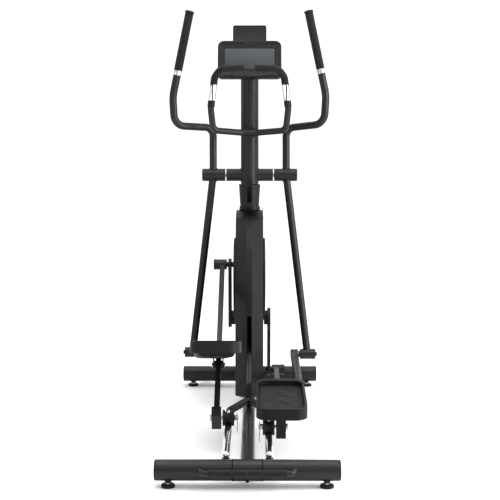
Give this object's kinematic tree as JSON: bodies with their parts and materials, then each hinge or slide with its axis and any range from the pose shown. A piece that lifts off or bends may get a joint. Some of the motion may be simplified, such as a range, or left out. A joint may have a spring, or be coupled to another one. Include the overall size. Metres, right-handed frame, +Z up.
{
  "type": "elliptical trainer",
  "caption": "Front-drive elliptical trainer with swing handles, railed rollers, foot trays, a fixed handlebar, a console and a covered flywheel drive.",
  "frame": {"origin": "on the floor, at the middle of the machine's bounding box in plan", "axes": "+Z up, +Y forward (the way the user faces), +X to the user's right"},
  "size_m": [0.6698, 1.509, 1.6503],
  "materials": {
    "frame_paint": "satin black powder coat",
    "chrome": "bright plated",
    "zinc": "zinc plated steel",
    "cover_plastic": "fine texture black plastic",
    "panel_plastic": "satin black plastic",
    "pedal_plastic": "textured black plastic",
    "foam": "black foam sleeve",
    "rubber": "black rubber",
    "screen": "grey display window",
    "iron": "machined iron",
    "alloy": "cast alloy",
    "belt": "ribbed belt",
    "black_steel": "black oxide steel"
  },
  "bodies": {
    "frame": {"bottle_holder": "cover_plastic", "console_housing": "cover_plastic", "console_screen": "screen", "crank_bearings": "zinc", "dc_inlet": "cover_plastic", "drive_belt": "belt", "flywheel_axle": "zinc", "flywheel_bracket": "frame_paint", "front_stabiliser": "frame_paint", "handlebar": "frame_paint", "handlebar_grips": "foam", "left_shroud": "cover_plastic", "lift_handle": "frame_paint", "lift_handle_grips": "foam", "mast": "frame_paint", "mast_bolts": "black_steel", "pivot_axle": "zinc", "pulse_plates": "chrome", "rail_bracket": "frame_paint", "rails": "chrome", "rear_stabiliser": "frame_paint", "right_shroud": "cover_plastic", "servo_motor": "cover_plastic", "side_panels": "panel_plastic", "spine_tube": "frame_paint", "stabiliser_end_caps": "cover_plastic", "tablet_holder": "cover_plastic", "upright_post": "frame_paint", "wheel_brackets": "frame_paint"},
    "crank": {"crank_axle": "zinc", "left_crank_arm": "frame_paint", "right_crank_arm": "frame_paint", "drive_pulley": "alloy", "hub_covers": "cover_plastic"},
    "flywheel": {"flywheel": "iron"},
    "brake": {"brake_bracket": "alloy"},
    "left_swing": {"left_swing_arm": "frame_paint", "left_upper_handle": "frame_paint", "left_handle_grip": "foam"},
    "left_carriage": {"left_roller_carrier": "zinc"},
    "left_wheel": {"left_roller": "rubber"},
    "left_link": {"left_connecting_arm": "frame_paint", "left_crank_pin": "black_steel"},
    "left_step": {"left_pedal_arm": "frame_paint", "left_pedal": "pedal_plastic"},
    "rear_left_leveller": {"rear_left_foot": "rubber"},
    "front_left_leveller": {"front_left_foot": "rubber"},
    "left_castor": {"left_transport_wheel": "rubber"},
    "right_swing": {"right_swing_arm": "frame_paint", "right_upper_handle": "frame_paint", "right_handle_grip": "foam"},
    "right_carriage": {"right_roller_carrier": "zinc"},
    "right_wheel": {"right_roller": "rubber"},
    "right_link": {"right_connecting_arm": "frame_paint", "right_crank_pin": "black_steel"},
    "right_step": {"right_pedal_arm": "frame_paint", "right_pedal": "pedal_plastic"},
    "rear_right_leveller": {"rear_right_foot": "rubber"},
    "front_right_leveller": {"front_right_foot": "rubber"},
    "right_castor": {"right_transport_wheel": "rubber"}
  },
  "joints": [
    {"name": "crank_spin", "type": "hinge", "parent": "frame", "child": "crank", "pos_m": [0, 0.4075, 0.36], "axis": [1, 0, 0], "continuous": true},
    {"name": "flywheel_spin", "type": "hinge", "parent": "frame", "child": "flywheel", "pos_m": [0, 0.382, 0.64], "axis": [1, 0, 0], "continuous": true},
    {"name": "brake_pivot", "type": "hinge", "parent": "frame", "child": "brake", "pos_m": [0, 0.486, 0.53], "axis": [1, 0, 0], "range_deg": [0, 8]},
    {"name": "left_swing_pivot", "type": "hinge", "parent": "frame", "child": "left_swing", "pos_m": [-0.153, 0.5365, 0.959], "axis": [1, 0, 0], "range_deg": [-22.73, 13.56]},
    {"name": "left_rail_slide", "type": "slide", "parent": "frame", "child": "left_carriage", "axis": [0, 1, 0], "range_m": [-0.3287, 0.1496]},
    {"name": "left_roller_spin", "type": "hinge", "parent": "left_carriage", "child": "left_wheel", "pos_m": [-0.0713, -0.30143, 0.1214], "axis": [1, 0, 0], "range_deg": [-484, 1064]},
    {"name": "left_arm_lift", "type": "hinge", "parent": "left_carriage", "child": "left_link", "pos_m": [-0.114, -0.30143, 0.1214], "axis": [1, 0, 0], "range_deg": [-33.27, 0]},
    {"name": "left_pedal_hinge", "type": "hinge", "parent": "left_link", "child": "left_step", "pos_m": [-0.114, -0.08649, 0.26619], "axis": [1, 0, 0], "range_deg": [0, 48.6]},
    {"name": "rear_left_foot_turn", "type": "hinge", "parent": "frame", "child": "rear_left_leveller", "pos_m": [-0.256, -0.6815, 0.01], "axis": [0, 0, 1], "continuous": true},
    {"name": "front_left_foot_turn", "type": "hinge", "parent": "frame", "child": "front_left_leveller", "pos_m": [-0.256, 0.6685, 0.01], "axis": [0, 0, 1], "continuous": true},
    {"name": "left_wheel_spin", "type": "hinge", "parent": "frame", "child": "left_castor", "pos_m": [-0.2, 0.7295, 0.05], "axis": [1, 0, 0], "continuous": true},
    {"name": "right_swing_pivot", "type": "hinge", "parent": "frame", "child": "right_swing", "pos_m": [0.153, 0.5365, 0.959], "axis": [1, 0, 0], "range_deg": [-17.69, 18.6]},
    {"name": "right_rail_slide", "type": "slide", "parent": "frame", "child": "right_carriage", "axis": [0, 1, 0], "range_m": [-0.2172, 0.2611]},
    {"name": "right_roller_spin", "type": "hinge", "parent": "right_carriage", "child": "right_wheel", "pos_m": [0.0713, -0.41286, 0.1214], "axis": [1, 0, 0], "range_deg": [-845, 703]},
    {"name": "right_arm_lift", "type": "hinge", "parent": "right_carriage", "child": "right_link", "pos_m": [0.114, -0.41286, 0.1214], "axis": [1, 0, 0], "range_deg": [0, 33.27]},
    {"name": "right_pedal_hinge", "type": "hinge", "parent": "right_link", "child": "right_step", "pos_m": [0.114, -0.15372, 0.12454], "axis": [1, 0, 0], "range_deg": [-48, 0.8]},
    {"name": "rear_right_foot_turn", "type": "hinge", "parent": "frame", "child": "rear_right_leveller", "pos_m": [0.256, -0.6815, 0.01], "axis": [0, 0, 1], "continuous": true},
    {"name": "front_right_foot_turn", "type": "hinge", "parent": "frame", "child": "front_right_leveller", "pos_m": [0.256, 0.6685, 0.01], "axis": [0, 0, 1], "continuous": true},
    {"name": "right_wheel_spin", "type": "hinge", "parent": "frame", "child": "right_castor", "pos_m": [0.2, 0.7295, 0.05], "axis": [1, 0, 0], "continuous": true}
  ],
  "couplings": [
    {"joint": "flywheel_spin", "follows": "crank_spin", "ratio": 6.25},
    {"joint": "left_rail_slide", "follows": "left_swing_pivot", "m_per_rad": 0.63},
    {"joint": "left_roller_spin", "follows": "left_swing_pivot", "ratio": -35.593},
    {"joint": "left_pedal_hinge", "follows": "left_arm_lift", "ratio": -1.438},
    {"joint": "right_rail_slide", "follows": "left_swing_pivot", "m_per_rad": -0.63},
    {"joint": "right_roller_spin", "follows": "left_swing_pivot", "ratio": 35.593},
    {"joint": "right_pedal_hinge", "follows": "left_arm_lift", "ratio": 1.438},
    {"joint": "right_swing_pivot", "follows": "left_swing_pivot", "ratio": -0.78},
    {"joint": "right_arm_lift", "follows": "left_arm_lift", "ratio": -1}
  ]
}
